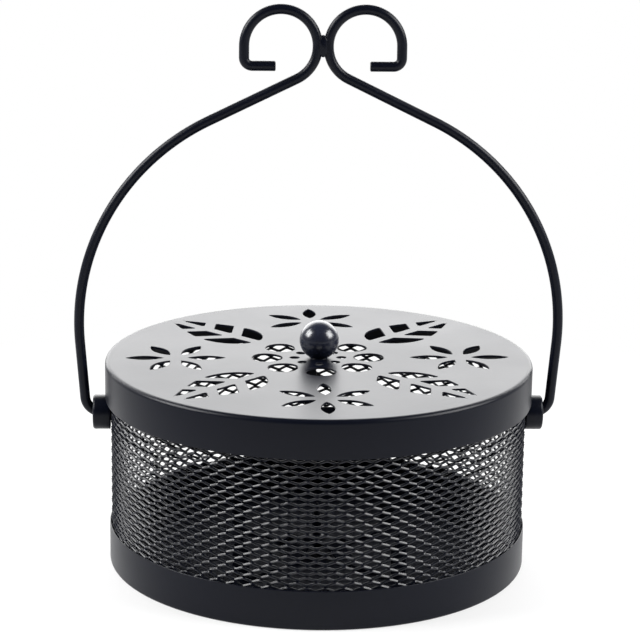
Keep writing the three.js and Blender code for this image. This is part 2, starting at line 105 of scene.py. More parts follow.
def share(name, description, default):
    return FloatProperty(name=name, description=description, default=default, min=0.0, max=1.0,
                         subtype="FACTOR")


def number(name, description, default):
    return IntProperty(name=name, description=description, default=default, min=4)


def strength(name, description, default):
    return FloatProperty(name=name, description=description, default=default)


class BoxSizes(PropertyGroup):
    """The still box: tray, mesh and collar"""
    height: length("Box height", "From the table to the top of the lid", 0.0827)
    tray_radius: length("Tray radius", "Outside of the tray's band", 0.0835)
    band_height: length("Band height", "Height of the tray's band", 0.0157)
    tray_sheet: length("Tray sheet", "Thickness of the tray's sheet", 0.0006)
    floor_sheet: length("Floor sheet", "Thickness of the tray's floor", 0.0008)
    tray_corner: length("Tray corner", "Outer radius between floor and band", 0.0010)
    collar_sheet: length("Collar sheet", "Thickness of the collar's sheet", 0.0007)
    collar_depth: length("Collar depth", "Height of the collar's two lips", 0.0136)
    collar_top: length("Collar top", "Height of the collar's top face", 0.0816)
    collar_inner: length("Collar inner radius", "Inside of the collar's inner lip", 0.0801)
    collar_outer: length("Collar outer radius", "Outside of the collar's outer lip", 0.0836)
    collar_edge: length("Collar edge", "Outer radius between top and lips", 0.0009)
    collar_fold: length("Collar fold", "Inner radius between top and lips", 0.0003)


class MeshSizes(PropertyGroup):
    """The expanded metal"""
    columns: number("Diamonds round", "Diamonds in one row", 74)
    rows: number("Strands", "Zigzag strands above each other", 30)
    foot: length("Foot", "Height of the lowest strand's middle", 0.0116)
    top: length("Top", "Height of the highest strand's middle", 0.0720)
    radius: length("Radius", "Radius of the sheet's middle", 0.0820)
    strand_width: length("Strand width", "Width of one strand", 0.00104)
    strand_thickness: length("Strand thickness", "Thickness of the sheet", 0.0010)
    tilt: angle_of("Tilt", "Lean of each strand, its top inwards", 32)
    bond: share("Bond", "Length of a bond as a share of half a diamond", 0.25)
    slit: length("Slit", "Gap between the sheet's two ends at the back", 0.0006)
    strip_width: length("Strip width", "Width of the strip behind the slit", 0.005)
    strip_thickness: length("Strip thickness", "Thickness of that strip", 0.0008)
    strip_setback: length("Strip setback", "From the sheet's middle to the strip", 0.0011)


class LidSizes(PropertyGroup):
    """The lid and its knob"""
    radius: length("Lid radius", "Outside of the skirt", 0.085)
    sheet: length("Lid sheet", "Thickness of the lid's sheet", 0.0008)
    skirt: length("Skirt", "Depth of the skirt from the top", 0.0154)
    edge: length("Edge radius", "Outer radius between top and skirt", 0.0018)
    turn: angle_of("Turn", "How far the lid is turned on the box", 0.85)
    cut_edge: length("Cut edge", "Rounding along the cut-outs", 0.00016)
    knob_radius: length("Knob radius", "Radius of the ball", 0.0078)
    knob_foot: length("Knob foot", "Radius of the ball's flat foot", 0.0035)
    washer_hole: length("Washer hole", "Radius of the hole in the knob's washer", 0.0016)
    washer_radius: length("Washer radius", "Radius of the knob's washer", 0.0042)
    screw_radius: length("Screw radius", "Radius of the knob's screw", 0.0013)
    head_radius: length("Screw head", "Radius of the screw's head", 0.003)
    head_height: length("Screw head height", "Height of the screw's head", 0.0015)
    head_edge: length("Screw head edge", "Rounding of the screw's head", 0.0009)


class PatternSizes(PropertyGroup):
    """The cut-outs of the lid"""
    centre_radius: length("Centre flower", "Radius of its petals' middles", 0.0202)
    centre_length: length("Centre petal length", "Length of a centre petal", 0.0122)
    centre_width: length("Centre petal width", "Width of a centre petal", 0.0118)
    eyelet_radius: length("Eyelet ring", "Radius of the eyelets' middles", 0.0093)
    eyelet_length: length("Eyelet length", "Length of an eyelet", 0.0040)
    eyelet_width: length("Eyelet width", "Width of an eyelet", 0.0034)
    flower_radius: length("Flower ring", "Radius of the flowers' middles", 0.0566)
    petal_start: length("Petal start", "From a flower's middle to its petals", 0.0047)
    petal_length: length("Petal length", "Length of a flower's petal", 0.0152)
    petal_width: length("Petal width", "Width of a flower's petal", 0.0055)
    leaf_start: length("Leaf start", "From the lid's middle to a leaf", 0.0336)
    leaf_length: length("Leaf length", "Length of a leaf", 0.0504)
    leaf_width: length("Leaf width", "Width of a leaf", 0.0250)
    midrib: length("Midrib", "Width of a leaf's midrib", 0.0044)
    vein: length("Vein", "Width of a leaf's veins", 0.0044)
    offset: length("Offset", "How far the cut-outs lie to the left of the lid's middle", 0.0004)
    slot_corner: length("Slot corner", "Rounding of the slots' corners", 0.0007)


class HandleSizes(PropertyGroup):
    """The handle's wires and pivots"""
    wire_radius: length("Wire radius", "Radius of the wire", 0.0020)
    wire_play: length("Wire play", "Room about the wire in a boss", 0.0003)
    boss_face: length("Boss face", "From the middle to a boss's outer face", 0.0899)
    boss_radius: length("Boss radius", "Radius of a boss", 0.0069)
    boss_length: length("Boss length", "Length of a boss outside the mesh", 0.0069)
    boss_edge: length("Boss edge", "Rounding of a boss's outer edge", 0.0010)
    boss_mouth: length("Boss mouth", "Radius of the funnel at a boss's outer face", 0.0043)
    mouth_depth: length("Mouth depth", "Depth of that funnel", 0.0039)
    spigot_radius: length("Spigot radius", "Radius of a boss inside the mesh", 0.0036)
    washer_hole: length("Washer hole", "Radius of the hole in an inner washer", 0.0039)
    washer_radius: length("Washer radius", "Radius of an inner washer", 0.0075)
    nut_hole: length("Nut hole", "Radius of the hole in a push nut", 0.0023)
    nut_radius: length("Nut radius", "Radius of a push nut", 0.0048)
    pin_bend: length("Pin bend", "Radius of the bend at a pivot", 0.0065)
    setback: length("Setback", "How far inside the boss that bend starts", 0.00335)
    leg_lean: angle_of("Leg lean", "Outward lean of the legs", 4.5)
    shoulder_radius: length("Shoulder radius", "Radius of the large bow", 0.0912)
    shoulder_slope: angle_of("Shoulder slope", "Slope above the bow", 26.1)
    scroll_radius: length("Scroll radius", "Radius of a scroll's middle line", 0.0142)
    scroll_height: length("Scroll height", "Height of the scrolls' middles", 0.2073)
    scroll_drop: length("Scroll drop", "Straight at a scroll's outer side", 0.0046)
    scroll_bend: length("Scroll bend", "Radius of the last bend", 0.0032)
    scroll_tail: length("Scroll tail", "Straight end of the wire", 0.0090)
    wire_gap: length("Wire gap", "Room between the two scrolls", 0.0002)
    weld_length: length("Weld length", "Height of the weld", 0.0084)
    weld_width: length("Weld width", "Width of the weld", 0.0040)
    weld_depth: length("Weld depth", "Half the depth of one bead", 0.0011)
    weld_out: length("Weld place", "From the wires' plane to a bead's middle", 0.0012)


class RestSizes(PropertyGroup):
    """The spike through the coil rest's strips"""
    spike_radius: length("Spike radius", "Radius of the spike", 0.002)
    spike_taper: length("Spike taper", "Length of its pointed end", 0.007)
    head_radius: length("Head radius", "Radius of the rivet's two heads", 0.0035)
    head_height: length("Head height", "Height of a head", 0.001)
    head_edge: length("Head edge", "Rounding of the lower head", 0.0004)
    strips_top: length("Strips' top", "Height at which the upper head starts", 0.0074)


class FinishColours(PropertyGroup):
    """Paint and plating"""
    coat: colour("Powder coat", "Black powder coat on sheet and wire", (0.0025, 0.0035, 0.0085))
    coat_roughness: share("Coat roughness", "Roughness of the powder coat", 0.34)
    # Inside roughness, with a low mirror level, makes the tray's inside and the coil rest read
    # darker than the same coat outside: painted shade where the box is shaded inside.
    inside_roughness: share("Inside roughness", "Roughness inside, dulled by ash", 0.75)
    mesh_roughness: share("Mesh roughness", "Roughness of the coat on the mesh", 0.30)
    knob: colour("Enamel", "Black enamel of the knob", (0.013, 0.016, 0.030))
    knob_roughness: share("Knob roughness", "Roughness of the enamel", 0.24)
    plating: colour("Zinc plating", "Plated screws, nuts and washers", (0.56, 0.57, 0.58))


class StageSettings(PropertyGroup):
    """Floor and lamps"""
    floor: colour("Floor", "Colour of the floor", (0.9, 0.9, 0.9))
    room: strength("Room", "Strength of the room's light", 0.05)
    left_lamp: strength("Left lamp", "Radiance of the left lamp", 15.0)
    right_lamp: strength("Right lamp", "Radiance of the right lamp", 12.0)
    back_lamp: strength("Back lamp", "Radiance of the back lamp", 3.9)
    top_lamp: strength("Top lamp", "Radiance of the top lamp", 0.5)


def piece(name, shape, stands_for, body="holder", slot="black_coat", sharp=math.radians(35)):
    """Makes one solid piece, shades it, finishes it and lets it ride on a body."""
    verts, faces = shape
    mesh = bpy.data.meshes.new(name)
    mesh.from_pydata([tuple(vert) for vert in verts], [], faces)
    mesh.update()
    tool = bmesh.new()
    tool.from_mesh(mesh)
    bmesh.ops.remove_doubles(tool, verts=tool.verts, dist=MERGE_DISTANCE)
    bmesh.ops.recalc_face_normals(tool, faces=tool.faces)
    tool.to_mesh(mesh)
    tool.free()
    mesh.shade_smooth()
    mesh.set_sharp_from_angle(angle=sharp)
    mesh.materials.append(finish(FINISH_OF_SLOT[slot]))
    obj = bpy.data.objects.new(name, mesh)
    bpy.context.scene.collection.objects.link(obj)
    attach(obj, body)
    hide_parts(*stands_for)
    return obj


def rounded(corners, steps=4):
    """Rounds the corners of a closed outline. Each corner is (x, y, radius)."""
    points = []
    for index, (x, y, radius) in enumerate(corners):
        corner = Vector((x, y))
        if radius <= 0:
            points.append(corner)
            continue
        back = (Vector(corners[index - 1][:2]) - corner).normalized()
        ahead = (Vector(corners[(index + 1) % len(corners)][:2]) - corner).normalized()
        half = back.angle(ahead) / 2
        start = corner + back * radius / math.tan(half)
        end = corner + ahead * radius / math.tan(half)
        centre = corner + (back + ahead).normalized() * radius / math.sin(half)
        first = math.atan2(start.y - centre.y, start.x - centre.x)
        last = math.atan2(end.y - centre.y, end.x - centre.x)
        swing = (last - first + math.pi) % (2 * math.pi) - math.pi
        for step in range(steps + 1):
            angle = first + swing * step / steps
            points.append(centre + Vector((math.cos(angle), math.sin(angle))) * radius)
    return [(point[0], point[1]) for point in points]


def washer(inner, outer, low, high, edge):
    """The outline of a flat ring, its hole only broken at the edges."""
    return rounded([(inner, low, BROKEN_EDGE), (outer, low, edge),
                    (outer, high, edge), (inner, high, BROKEN_EDGE)], 2)


def lathe(outline, sides, closed=True):
    """Turns an outline of (radius, height) points about Z."""
    verts, rings, faces = [], [], []
    for radius, height in outline:
        count = 1 if radius < MERGE_DISTANCE else sides
        rings.append(range(len(verts), len(verts) + count))
        for side in range(count):
            angle = 2 * math.pi * side / sides
            verts.append((radius * math.cos(angle), radius * math.sin(angle), height))
    pairs = list(zip(rings, rings[1:] + rings[:1]))
    for low, high in pairs if closed else pairs[:-1]:
        if len(low) == len(high) == 1:
            continue
        for side in range(sides):
            after = (side + 1) % sides
            corners = (low[side % len(low)], low[after % len(low)],
                       high[after % len(high)], high[side % len(high)])
            faces.append(tuple(dict.fromkeys(corners)))
    return verts, faces


def skin(rings, capped=True):
    """Joins closed rings of as many points each, and caps both ends."""
    count = len(rings[0])
    verts = [point for ring in rings for point in ring]
    faces = [(base + index, base + (index + 1) % count,
              base + count + (index + 1) % count, base + count + index)
             for base in range(0, len(verts) - count, count) for index in range(count)]
    if capped:
        faces += [tuple(range(count)), tuple(range(len(verts) - count, len(verts)))]
    return verts, faces


def joined(shapes):
    """Puts several shapes into one."""
    verts, faces = [], []
    for more_verts, more_faces in shapes:
        base = len(verts)
        verts.extend(more_verts)
        faces.extend(tuple(base + index for index in face) for face in more_faces)
    return verts, faces


def along_x(outline, sides, side):
    """A turned solid that lies along X at the pivots' height, on one side."""
    verts, faces = lathe(outline, sides)
    return [(side * z, side * y, PIVOT_HEIGHT + x) for x, y, z in verts], faces


def add_node(tree, kind, inputs=None, **settings):
    """Adds a shader node with its settings and its inputs' values."""
    node = tree.nodes.new(kind)
    for name, value in settings.items():
        setattr(node, name, value)
    for name, value in (inputs or {}).items():
        node.inputs[name].default_value = value
    return node


def link_all(tree, *links):
    """Makes links of (a node, its output, the next node, its input)."""
    for source, output, target, socket in links:
        tree.links.new(source.outputs[output], target.inputs[socket])


def add_math(tree, operation, first, second):
    """Works out one value from two sockets."""
    node = add_node(tree, "ShaderNodeMath", operation=operation)
    tree.links.new(first, node.inputs[0])
    tree.links.new(second, node.inputs[1])
    return node.outputs["Value"]


def show_mixed(tree, amount, plain, white, output):
    """Shows a mix of a plain and a white shader."""
    mix = add_node(tree, "ShaderNodeMixShader")
    for socket, source in zip(mix.inputs, (amount, plain, white)):
        tree.links.new(source, socket)
    tree.links.new(mix.outputs["Shader"], tree.nodes[output].inputs["Surface"])


def new_material(name):
    material = bpy.data.materials.new(name)
    material.use_nodes = True
    return material, material.node_tree, material.node_tree.nodes["Principled BSDF"]


def coat_material(name, base, roughness, level, grain, depth):
    """Powder coat or enamel: near black, with the fine orange-peel skin of baked paint."""
    spread, cloud_grains, peel_strength = 0.04, 30, 0.6
    material, tree, shader = new_material(name)
    shader.inputs["Base Color"].default_value = (*base, 1)
    shader.inputs["Specular IOR Level"].default_value = level
    place = add_node(tree, "ShaderNodeTexCoord")
    peel = add_node(tree, "ShaderNodeTexNoise", {"Scale": 1 / grain, "Detail": 3})
    cloud = add_node(tree, "ShaderNodeTexNoise", {"Scale": 1 / (cloud_grains * grain), "Detail": 4})
    sheen = add_node(tree, "ShaderNodeMapRange",
                     {"To Min": roughness - spread, "To Max": roughness + spread})
    bump = add_node(tree, "ShaderNodeBump", {"Strength": peel_strength, "Distance": depth})
    link_all(tree, (place, "Object", peel, "Vector"), (place, "Object", cloud, "Vector"),
             (cloud, "Fac", sheen, "Value"), (sheen, "Result", shader, "Roughness"),
             (peel, "Fac", bump, "Height"), (bump, "Normal", shader, "Normal"))
    return material


def plated_material(name, base):
    """Zinc plating: bright metal with a faint crystalline mottle."""
    crystals_per_metre, dimmed = 1800, 0.85
    material, tree, shader = new_material(name)
    shader.inputs["Metallic"].default_value = 1.0
    place = add_node(tree, "ShaderNodeTexCoord")
    mottle = add_node(tree, "ShaderNodeTexNoise", {"Scale": crystals_per_metre, "Detail": 3})
    tint = add_node(tree, "ShaderNodeMix", data_type="RGBA")
    tint.inputs["A"].default_value = (*[dimmed * value for value in base], 1)
    tint.inputs["B"].default_value = (*base, 1)
    rough = add_node(tree, "ShaderNodeMapRange", {"To Min": 0.28, "To Max": 0.42})
    link_all(tree, (place, "Object", mottle, "Vector"), (mottle, "Fac", tint, "Factor"),
             (tint, "Result", shader, "Base Color"), (mottle, "Fac", rough, "Value"),
             (rough, "Result", shader, "Roughness"))
    return material


def finish(name):
    """Makes each finish once, when a piece first asks for it."""
    if name in bpy.data.materials:
        return bpy.data.materials[name]
    colours = bpy.context.scene.coil_holder_finishes
    # Colour, roughness, mirror level, size of grain, depth of grain
    coats = {
        "black_powder_coat": (colours.coat, colours.coat_roughness, 0.18, 0.0011, 0.00002),
        # The inside coat is the powder coat made duller and less mirror-like, so the box's inside
        # reads darker: painted shade.
        "dull_inside_coat": (colours.coat, colours.inside_roughness, 0.05, 0.0011, 0.00002),
        "black_mesh_coat": (colours.coat, colours.mesh_roughness, 0.42, 0.0008, 0.00002),
        "black_enamel": (colours.knob, colours.knob_roughness, 0.8, 0.0011, 0.00001),
    }
    if name in coats:
        return coat_material(name, *coats[name])
    return plated_material(name, colours.plating)


class COILHOLDER_OT_tray(Operator):
    """Makes the tray that the box stands on"""
    bl_idname = "coil_holder.tray"
    bl_label = "Tray"
    rim_share = 0.49

    def execute(self, context):
        box = context.scene.coil_holder_box
        outer, sheet, top = box.tray_radius, box.tray_sheet, box.band_height
        outline = [(0, 0)] + rounded([
            (outer, 0, box.tray_corner),
            (outer, top, sheet * self.rim_share),
            (outer - sheet, top, sheet * self.rim_share),
            (outer - sheet, box.floor_sheet, box.tray_corner - sheet),
            (0, box.floor_sheet, 0),
            (0, 0, 0),
        ], 6)[:-1]
        tray = piece("tray", lathe(outline, SHEET_SIDES), ["base_tray"])
        # Faces inside the tray take the inside coat, a painted shade for the shaded inside.
        tray.data.materials.append(finish("dull_inside_coat"))
        for face in tray.data.polygons:
            place = face.center
            if math.hypot(place.x, place.y) < outer - sheet / 2 and place.z > box.floor_sheet / 2:
                face.material_index = 1
        return {"FINISHED"}


class COILHOLDER_OT_mesh(Operator):
    """Makes the expanded-metal wall and the strip behind its seam"""
    bl_idname = "coil_holder.mesh"
    bl_label = "Mesh wall"
    strip_steps = 12

    def execute(self, context):
        sizes = context.scene.coil_holder_mesh
        piece("expanded_mesh", expanded_metal(sizes), ["mesh_wall"], slot="mesh_coat",
              sharp=math.radians(10))
        piece("seam_strip", self.seam_strip(sizes), ["mesh_seam_strip"])
        return {"FINISHED"}

    def seam_strip(self, sizes):
        """A strip that follows the wall's curve inside its slit."""
        low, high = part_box("mesh_seam_strip")
        outer = sizes.radius - sizes.strip_setback
        inner = outer - sizes.strip_thickness
        half = sizes.strip_width / 2 / outer
        section = rounded([(inner, low[2], SOFT_EDGE), (outer, low[2], SOFT_EDGE),
                           (outer, high[2], SOFT_EDGE), (inner, high[2], SOFT_EDGE)], 2)
        rings = []
        for step in range(self.strip_steps + 1):
            angle = math.pi / 2 - half + 2 * half * step / self.strip_steps
            rings.append([(r * math.cos(angle), r * math.sin(angle), z) for r, z in section])
        return skin(rings)


def strand_section(sizes):
    """The section of a leaning strand, its outer edges rounded."""
    half_width, half_sheet = sizes.strand_width / 2, sizes.strand_thickness / 2
    round_out, round_up = 0.38 * sizes.strand_thickness, 0.27 * sizes.strand_width
    flat = [
        (half_sheet - round_out, -half_width), (half_sheet, -half_width + round_up),
        (half_sheet, half_width - round_up), (half_sheet - round_out, half_width),
        (-half_sheet, half_width), (-half_sheet, -half_width),
    ]
    cos, sin = math.cos(sizes.tilt), math.sin(sizes.tilt)
    return [(out * cos - up * sin, out * sin + up * cos) for out, up in flat]


def expanded_metal(sizes):
    """Zigzag strands that meet in tilted bonds, as a slit and stretched sheet has them."""
    bond_end_share, swing_share = 0.86, 0.55
    pitch = 2 * math.pi / sizes.columns
    row = (sizes.top - sizes.foot) / (sizes.rows - 1)
    rise = (row - sizes.strand_width * math.cos(sizes.tilt)) / 2
    swing = swing_share * sizes.strand_width * math.sin(sizes.tilt)
    start = sizes.slit / 2 / sizes.radius
    bond = sizes.bond * pitch / 4
    stations = []
    for step in range(2 * sizes.columns + 1):
        high = 1 if step % 2 == 0 else -1
        for shift, reach in ((-bond, bond_end_share), (0, 1), (bond, bond_end_share)):
            angle = step * pitch / 2 + shift
            if start <= angle <= 2 * math.pi - start:
                stations.append((angle, high * reach))
    stations[0] = (start, 1)
    stations.append((2 * math.pi - start, 1))
    section = strand_section(sizes)
    strands = []
    for strand in range(sizes.rows):
        sign = 1 if strand % 2 == 0 else -1
        middle = sizes.foot + strand * row
        rings = []
        for angle, level in stations:
            turn = angle + math.pi / 2
            radius, height = sizes.radius + sign * level * swing, middle + sign * level * rise
            cos, sin = math.cos(turn), math.sin(turn)
            rings.append([((radius + out) * cos, (radius + out) * sin, height + up)
                          for out, up in section])
        strands.append(skin(rings))
    return joined(strands)


class COILHOLDER_OT_collar(Operator):
    """Makes the channel that caps the mesh and carries the lid"""
    bl_idname = "coil_holder.collar"
    bl_label = "Collar"
    lip_share = 0.2

    def execute(self, context):
        box = context.scene.coil_holder_box
        sheet, top = box.collar_sheet, box.collar_top
        bottom = top - box.collar_depth
        inner, outer = box.collar_inner, box.collar_outer
        lip = self.lip_share * sheet
        outline = rounded([
            (inner, bottom, lip),
            (inner + sheet, bottom, lip),
            (inner + sheet, top - sheet, box.collar_fold),
            (outer - sheet, top - sheet, box.collar_fold),
            (outer - sheet, bottom, lip),
            (outer, bottom, lip),
            (outer, top, box.collar_edge),
            (inner, top, box.collar_edge),
        ])
        piece("collar", lathe(outline, SHEET_SIDES), ["top_collar"])
        return {"FINISHED"}


class COILHOLDER_OT_pivots(Operator):
    """Makes the bosses and washers that hold the handle's ends"""
    bl_idname = "coil_holder.pivots"
    bl_label = "Pivots"
    shoulder_edge, mouth_edge = 0.0003, 0.0004

    def execute(self, context):
        sizes = context.scene.coil_holder_handle
        bore, face = sizes.wire_radius + sizes.wire_play, sizes.boss_face
        inner = abs(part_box("right_boss")[0][0])
        shoulder = face - sizes.boss_length
        outline = rounded([
            (bore, inner, 0),
            (sizes.spigot_radius, inner, 0),
            (sizes.spigot_radius, shoulder, SOFT_EDGE),
            (sizes.boss_radius, shoulder, self.shoulder_edge),
            (sizes.boss_radius, face, sizes.boss_edge),
            (sizes.boss_mouth, face, self.mouth_edge),
            (bore, face - sizes.mouth_depth, 0),
        ])
        for name, side in (("left", -1), ("right", 1)):
            piece(f"{name}_pivot_boss", along_x(outline, PIVOT_SIDES, side), [f"{name}_boss"])
            near, far = sorted(abs(corner[0]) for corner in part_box(f"{name}_backing_washer"))
            ring = washer(sizes.washer_hole, sizes.washer_radius, near, far, SOFT_EDGE)
            piece(f"{name}_inner_washer", along_x(ring, PIVOT_SIDES, side),
                  [f"{name}_backing_washer"])
        return {"FINISHED"}


class COILHOLDER_OT_coil_rest(Operator):
    """Finishes the crossed strips and makes the spike that hold the coil"""
    bl_idname = "coil_holder.coil_rest"
    bl_label = "Coil rest"
    tip_radius, tip_height = 0.0002, 0.0001

    def execute(self, context):
        # The crossed strips take the inside coat too, a painted shade inside the box.
        for node in ("coil_rest_lower", "coil_rest_upper"):
            for slot in frame["nodes"][node].material_slots:
                slot.material = finish("dull_inside_coat")
        rest = context.scene.coil_holder_rest
        low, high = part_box("centre_spike")
        bottom, top = low[2], high[2]
        spike, strips = rest.spike_radius, rest.strips_top
        head, thick = rest.head_radius, rest.head_height
        outline = rounded([
            (0, bottom, 0), (head, bottom, rest.head_edge), (head, bottom + thick, SOFT_EDGE),
            (spike, bottom + thick, 0), (spike, strips, 0), (head, strips, SOFT_EDGE),
            (head, strips + thick, SOFT_EDGE), (spike, strips + thick, 0),
            (spike, top - rest.spike_taper, spike), (self.tip_radius, top - self.tip_height, 0),
            (0, top, 0),
        ], 4)
        piece("coil_spike", lathe(outline, HARDWARE_SIDES), ["centre_spike"])
        return {"FINISHED"}


def petal_oval(centre, size, width, taper=0.0, points=40):
    """A round petal on the X axis, wider towards its outer end by a taper."""
    outline = []
    for step in range(points):
        angle = 2 * math.pi * step / points
        outline.append((centre + size / 2 * math.cos(angle),
                        width / 2 * math.sin(angle) * (1 + taper * math.cos(angle))))
    return outline


def petal_pointed(start, size, width, points=28, fullness=0.8):
    """A petal on the X axis, pointed at both ends."""
    outline = []
    half = points // 2
    for step in range(points):
        side = 1 if step < half else -1
        along = 1 - step / half if side > 0 else (step - half) / half
        across = width / 2 * math.sin(math.pi * along) ** fullness
        outline.append((start + size * along, side * across))
    return outline


class Leaf:
    """A leaf on the X axis, cut into slots by its midrib and two pairs of slanting veins."""
    belly = 0.6
    lean = 0.79
    veins = (0.235, 0.545)
    steps = 14
    halvings = 40

    def __init__(self, sizes):
        self.sizes = sizes
        self.start, self.end = sizes.leaf_start, sizes.leaf_start + sizes.leaf_length

    def half_width(self, distance):
        along = min(max((distance - self.start) / self.sizes.leaf_length, 0), 1)
        return self.sizes.leaf_width / 2 * math.sin(math.pi * along ** self.belly)

    def vein_end(self, distance):
        """How far from the axis a vein meets the leaf's edge."""
        low, high = 0.0, self.sizes.leaf_width / 2
        for _ in range(self.halvings):
            across = (low + high) / 2
            if across < self.half_width(distance + self.lean * across):
                low = across
            else:
                high = across
        return low

    def crossing(self, across, outside):
        """Where the leaf's edge, followed from one end, lies that far from the axis."""
        inside = (self.start + self.end) / 2
        for _ in range(self.halvings):
            middle = (outside + inside) / 2
            if self.half_width(middle) > across:
                inside = middle
            else:
                outside = middle
        return inside

    def slot(self, first, last):
        """The slot between two places, each a vein's edge or the leaf's end."""
        rib, corner = self.sizes.midrib / 2, self.sizes.slot_corner
        points, ends = [], []
        for place, tip in ((first, self.start), (last, self.end)):
            if place == tip:
                ends.append(self.crossing(rib, tip))
            else:
                ends.append(place + self.lean * self.vein_end(place))
                points.append((place + self.lean * rib, rib, corner))
        for step in range(self.steps + 1):
            distance = ends[1] + (ends[0] - ends[1]) * step / self.steps
            at_end = step in (0, self.steps)
            points.append((distance, self.half_width(distance), corner if at_end else 0))
        return rounded(points, 3)

    def slots(self):
        half = self.sizes.vein * math.hypot(1, self.lean) / 2
        near, far = [self.start + self.sizes.leaf_length * vein for vein in self.veins]
        bounds = [(self.start, near - half), (near + half, far - half), (far + half, self.end)]
        left = [self.slot(*bound) for bound in bounds]
        right = [[(x, -y) for x, y in reversed(points)] for points in left]
        return left + right


def turned(outlines, angle, shift=0.0):
    """Turns outlines about the middle, then shifts them along X."""
    cos, sin = math.cos(angle), math.sin(angle)
    return [[(x * cos - y * sin + shift, x * sin + y * cos) for x, y in points]
            for points in outlines]


def around(outlines, count, first=0.0):
    """Copies outlines round the middle."""
    return [points for copy in range(count)
            for points in turned(outlines, first + 2 * math.pi * copy / count)]


def lid_cut_outs(sizes):
    """Petals and eyelets about the knob, four flowers and four leaves between them."""
    centre = petal_oval(sizes.centre_radius, sizes.centre_length, sizes.centre_width, taper=0.12)
    eyelet = petal_oval(sizes.eyelet_radius, sizes.eyelet_length, sizes.eyelet_width, points=24)
    petal = petal_pointed(sizes.petal_start, sizes.petal_length, sizes.petal_width)
    flower = turned(around([petal], 6), 0, sizes.flower_radius)
    cut_outs = (around([centre, eyelet], 8) + around(flower, 4)
                + around(Leaf(sizes).slots(), 4, math.pi / 4))
    return turned(cut_outs, 0, -sizes.offset)


def grown(points, distance):
    """Moves a closed outline outwards all round."""
    area = sum(points[i - 1][0] * points[i][1] - points[i][0] * points[i - 1][1]
               for i in range(len(points)))
    side = 1 if area > 0 else -1
    moved = []
    for index, point in enumerate(points):
        before, after = points[index - 1], points[(index + 1) % len(points)]
        along = Vector((after[0] - before[0], after[1] - before[1])).normalized()
        moved.append((point[0] + side * distance * along.y, point[1] - side * distance * along.x))
    return moved


def inside(points, loop):
    """Which points lie in a closed loop."""
    found = np.zeros(len(points), bool)
    for (x0, y0), (x1, y1) in zip(loop, np.roll(loop, -1, axis=0)):
        spans = (y0 > points[:, 1]) != (y1 > points[:, 1])
        if y0 != y1:
            found ^= spans & (points[:, 0] < (x1 - x0) * (points[:, 1] - y0) / (y1 - y0) + x0)
    return found


def plate_with_holes(rim, holes, level):
    """Triangles of a flat plate between its rim and its holes, worked out in millimetres."""
    scale = 1000.0
    points, edges = [], []
    for loop in [rim] + holes:
        base = len(points)
        points += [Vector((x * scale, y * scale)) for x, y in loop]
        edges += [(base + i, base + (i + 1) % len(loop)) for i in range(len(loop))]
    verts, _, faces = delaunay_2d_cdt(points, edges, [], 1, MERGE_DISTANCE)[:3]
    verts = np.array([(v[0], v[1]) for v in verts])
    middles = np.array([verts[list(face)].mean(axis=0) for face in faces])
    keep = np.ones(len(faces), bool)
    for hole in holes:
        keep &= ~inside(middles, np.array(hole) * scale)
    return ([(x, y, level) for x, y in verts / scale],
            [tuple(face) for face, kept in zip(faces, keep) if kept])


class COILHOLDER_OT_lid(Operator):
    """Makes the lid with its skirt and cut-outs"""
    bl_idname = "coil_holder.lid"
    bl_label = "Lid"
    flat_margin = 0.0004
    rim_share = 0.48

    def execute(self, context):
        scene = context.scene
        lid, top = scene.coil_holder_lid, scene.coil_holder_box.height
        under, edge = top - lid.sheet, lid.cut_edge
        flat = lid.radius - lid.edge - self.flat_margin
        turns = [2 * math.pi * side / SHEET_SIDES for side in range(SHEET_SIDES)]
        rim = [(flat * math.cos(turn), flat * math.sin(turn)) for turn in turns]
        holes = lid_cut_outs(scene.coil_holder_pattern)
        shapes = [plate_with_holes(rim, [grown(hole, spread) for hole in holes], level)
                  for level, spread in ((top, edge), (under, 0.0))]
        for hole in holes:
            loops = ((grown(hole, edge), top), (hole, top - edge), (hole, under))
            shapes.append(skin([[(x, y, z) for x, y in loop] for loop, z in loops], capped=False))
        shapes.append(lathe(self.skirt(lid, top, flat), SHEET_SIDES, closed=False))
        verts, faces = joined(shapes)
        turn = Matrix.Rotation(lid.turn, 4, "Z")
        piece("lid", ([turn @ Vector(vert) for vert in verts], faces), ["lid_cap"], "lid",
              sharp=math.radians(30))
        return {"FINISHED"}

    def skirt(self, lid, top, flat):
        outer, sheet = lid.radius, lid.sheet
        bottom = top - lid.skirt
        return rounded([
            (flat, top, 0),
            (outer, top, lid.edge),
            (outer, bottom, sheet * self.rim_share),
            (outer - sheet, bottom, sheet * self.rim_share),
            (outer - sheet, top - sheet, lid.edge - sheet),
            (flat, top - sheet, 0),
        ], 8)


